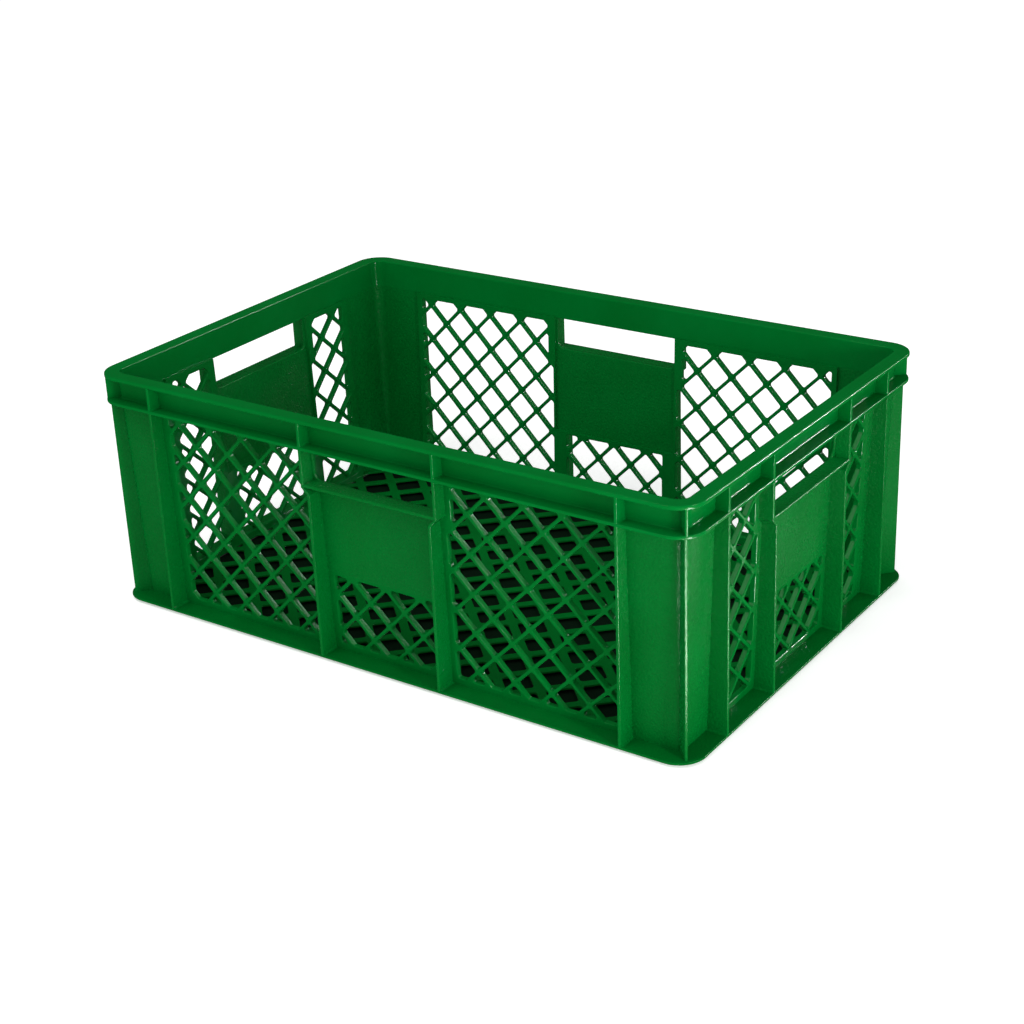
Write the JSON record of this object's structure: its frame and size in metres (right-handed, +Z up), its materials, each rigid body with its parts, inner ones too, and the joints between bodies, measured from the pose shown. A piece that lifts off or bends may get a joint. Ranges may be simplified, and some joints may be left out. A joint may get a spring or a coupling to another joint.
{
  "type": "stacking plastic crate",
  "caption": "Open-topped stacking crate in moulded plastic with diamond lattice walls, a grid floor, a channel rim, upright ribs and a hand hole in each wall.",
  "frame": {"origin": "centre of the crate's plan, on the surface that it stands on", "axes": "+X along the long side, +Y across the short side with the front wall at -Y, +Z up"},
  "size_m": [0.6, 0.4, 0.22],
  "materials": {
    "rim_plastic": "satin moulded polyethylene, smooth and slightly glossy on the lip",
    "wall_plastic": "satin moulded polyethylene with a fine moulded grain",
    "lattice_plastic": "satin moulded polyethylene, rounded bars",
    "base_plastic": "satin moulded polyethylene, lightly scuffed underneath"
  },
  "bodies": {
    "root": {"base_plate": "base_plastic", "corner_post_back_left": "wall_plastic", "corner_post_back_right": "wall_plastic", "corner_post_front_left": "wall_plastic", "corner_post_front_right": "wall_plastic", "corner_rib_back_left": "wall_plastic", "corner_rib_back_right": "wall_plastic", "corner_rib_front_left": "wall_plastic", "corner_rib_front_right": "wall_plastic", "corner_rib_left_back": "wall_plastic", "corner_rib_left_front": "wall_plastic", "corner_rib_right_back": "wall_plastic", "corner_rib_right_front": "wall_plastic", "end_panel_back_left": "wall_plastic", "end_panel_back_right": "wall_plastic", "end_panel_front_left": "wall_plastic", "end_panel_front_right": "wall_plastic", "end_panel_left_back": "wall_plastic", "end_panel_left_front": "wall_plastic", "end_panel_right_back": "wall_plastic", "end_panel_right_front": "wall_plastic", "handle_lattice_back": "lattice_plastic", "handle_lattice_front": "lattice_plastic", "handle_lattice_left": "lattice_plastic", "handle_lattice_right": "lattice_plastic", "handle_panel_back": "wall_plastic", "handle_panel_front": "wall_plastic", "handle_panel_left": "wall_plastic", "handle_panel_right": "wall_plastic", "handle_rib_back_left": "wall_plastic", "handle_rib_back_right": "wall_plastic", "handle_rib_front_left": "wall_plastic", "handle_rib_front_right": "wall_plastic", "handle_rib_left_back": "wall_plastic", "handle_rib_left_front": "wall_plastic", "handle_rib_right_back": "wall_plastic", "handle_rib_right_front": "wall_plastic", "lattice_back_left": "lattice_plastic", "lattice_back_right": "lattice_plastic", "lattice_front_left": "lattice_plastic", "lattice_front_right": "lattice_plastic", "lattice_left_back": "lattice_plastic", "lattice_left_front": "lattice_plastic", "lattice_right_back": "lattice_plastic", "lattice_right_front": "lattice_plastic", "rim_back": "rim_plastic", "rim_corner_back_left": "rim_plastic", "rim_corner_back_right": "rim_plastic", "rim_corner_front_left": "rim_plastic", "rim_corner_front_right": "rim_plastic", "rim_front": "rim_plastic", "rim_left": "rim_plastic", "rim_right": "rim_plastic", "stacking_foot_back": "base_plastic", "stacking_foot_front": "base_plastic", "stacking_foot_left": "base_plastic", "stacking_foot_right": "base_plastic"}
  },
  "joints": []
}
